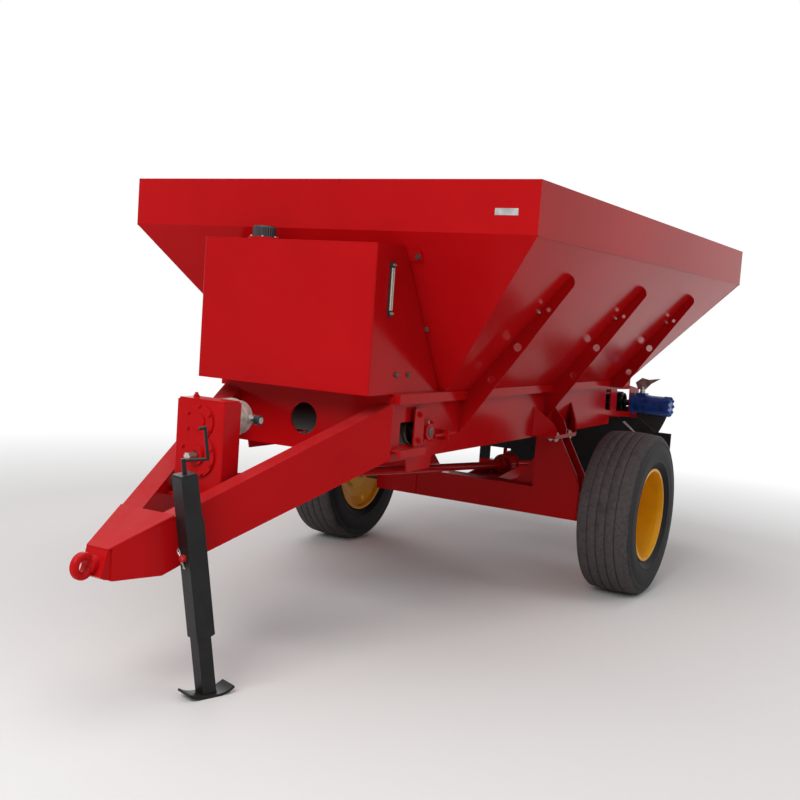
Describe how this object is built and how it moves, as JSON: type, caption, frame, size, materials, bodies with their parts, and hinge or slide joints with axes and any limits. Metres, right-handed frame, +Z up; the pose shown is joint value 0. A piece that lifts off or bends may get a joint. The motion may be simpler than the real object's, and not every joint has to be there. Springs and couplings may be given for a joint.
{
  "type": "towed manure and fertiliser spreader",
  "caption": "Towed spreader with a sloping open hopper on a belt floor, an oil tank, a swinging jack and twin spinner discs.",
  "frame": {"origin": "ground plane under the middle of the machine's overall box", "axes": "+X to the machine's left-hand side when facing forward, +Y to the rear, +Z up; the drawbar points to -Y"},
  "size_m": [2.517, 5.85, 2.35],
  "materials": {
    "bare_steel": "satin",
    "belt_rubber": "matte",
    "black_paint": "satin",
    "black_plastic": "matte",
    "blue_paint": "gloss",
    "cast_aluminium": "satin",
    "clear_plastic": "gloss",
    "red_paint": "gloss",
    "stainless": "satin",
    "tyre_rubber": "matte",
    "yellow_paint": "gloss"
  },
  "bodies": {
    "chassis": {"axle_beam": "red_paint", "axle_brackets": "red_paint", "axle_uprights": "red_paint", "belt_motor": "blue_paint", "carry_rollers": "bare_steel", "cross_members": "red_paint", "disc_gearboxes": "red_paint", "drawbar_nose": "red_paint", "drawbar_rail_left": "red_paint", "drawbar_rail_right": "red_paint", "drive_bearing": "red_paint", "drive_roller": "bare_steel", "drive_shafts": "red_paint", "drop_apron": "belt_rubber", "filler_cap": "black_plastic", "floor_belt": "belt_rubber", "front_bearings": "red_paint", "front_cross_member": "red_paint", "front_roller": "bare_steel", "gate_guides": "red_paint", "gearbox_case": "red_paint", "gearbox_covers": "red_paint", "gearbox_seat": "red_paint", "hopper_shell": "red_paint", "hopper_skirts": "red_paint", "hydraulic_pump": "cast_aluminium", "jack_mount": "bare_steel", "level_gauge": "clear_plastic", "motor_fittings": "bare_steel", "oil_tank": "red_paint", "pto_stub": "bare_steel", "ribs_left": "red_paint", "ribs_right": "red_paint", "side_beam_left": "red_paint", "side_beam_right": "red_paint", "spindles": "bare_steel", "spinner_frame": "red_paint", "spinner_guard": "black_paint", "take_up_screws": "red_paint", "tank_lugs": "red_paint"},
    "wheel_left": {"tyre_left": "tyre_rubber", "wheel_rim_left": "yellow_paint", "wheel_hub_left": "yellow_paint"},
    "wheel_right": {"tyre_right": "tyre_rubber", "wheel_rim_right": "yellow_paint", "wheel_hub_right": "yellow_paint"},
    "spinner_left": {"spinner_disc_left": "stainless"},
    "spinner_right": {"spinner_disc_right": "stainless"},
    "jack": {"jack_tube": "black_paint", "jack_crank": "black_paint"},
    "jack_inner": {"jack_leg": "black_paint"},
    "gate": {"discharge_gate": "bare_steel"},
    "eye": {"tow_eye": "red_paint"}
  },
  "joints": [
    {"name": "wheel_left", "type": "hinge", "parent": "chassis", "child": "wheel_left", "pos_m": [1.0835, 0.77883, 0.519], "axis": [1, 0, 0], "continuous": true},
    {"name": "wheel_right", "type": "hinge", "parent": "chassis", "child": "wheel_right", "pos_m": [-1.0835, 0.77883, 0.519], "axis": [1, 0, 0], "continuous": true},
    {"name": "spinner_left", "type": "hinge", "parent": "chassis", "child": "spinner_left", "pos_m": [0.335, 2.635, 0.615], "axis": [0, 0, 1], "continuous": true},
    {"name": "spinner_right", "type": "hinge", "parent": "chassis", "child": "spinner_right", "pos_m": [-0.335, 2.635, 0.615], "axis": [0, 0, 1], "continuous": true},
    {"name": "jack_swing", "type": "hinge", "parent": "chassis", "child": "jack", "pos_m": [0.24001, -2.47884, 0.625], "axis": [0.9483, -0.3172, 0], "range_deg": [0, 101]},
    {"name": "jack_extend", "type": "slide", "parent": "jack", "child": "jack_inner", "axis": [-0.0524, -0.1565, 0.9863], "range_m": [-0.1, 0.225]},
    {"name": "gate_lift", "type": "slide", "parent": "chassis", "child": "gate", "axis": [0, 0.4953, 0.8687], "range_m": [0, 0.2]},
    {"name": "eye_swivel", "type": "hinge", "parent": "chassis", "child": "eye", "pos_m": [0, -2.79, 0.605], "axis": [0, 1, 0], "continuous": true}
  ]
}
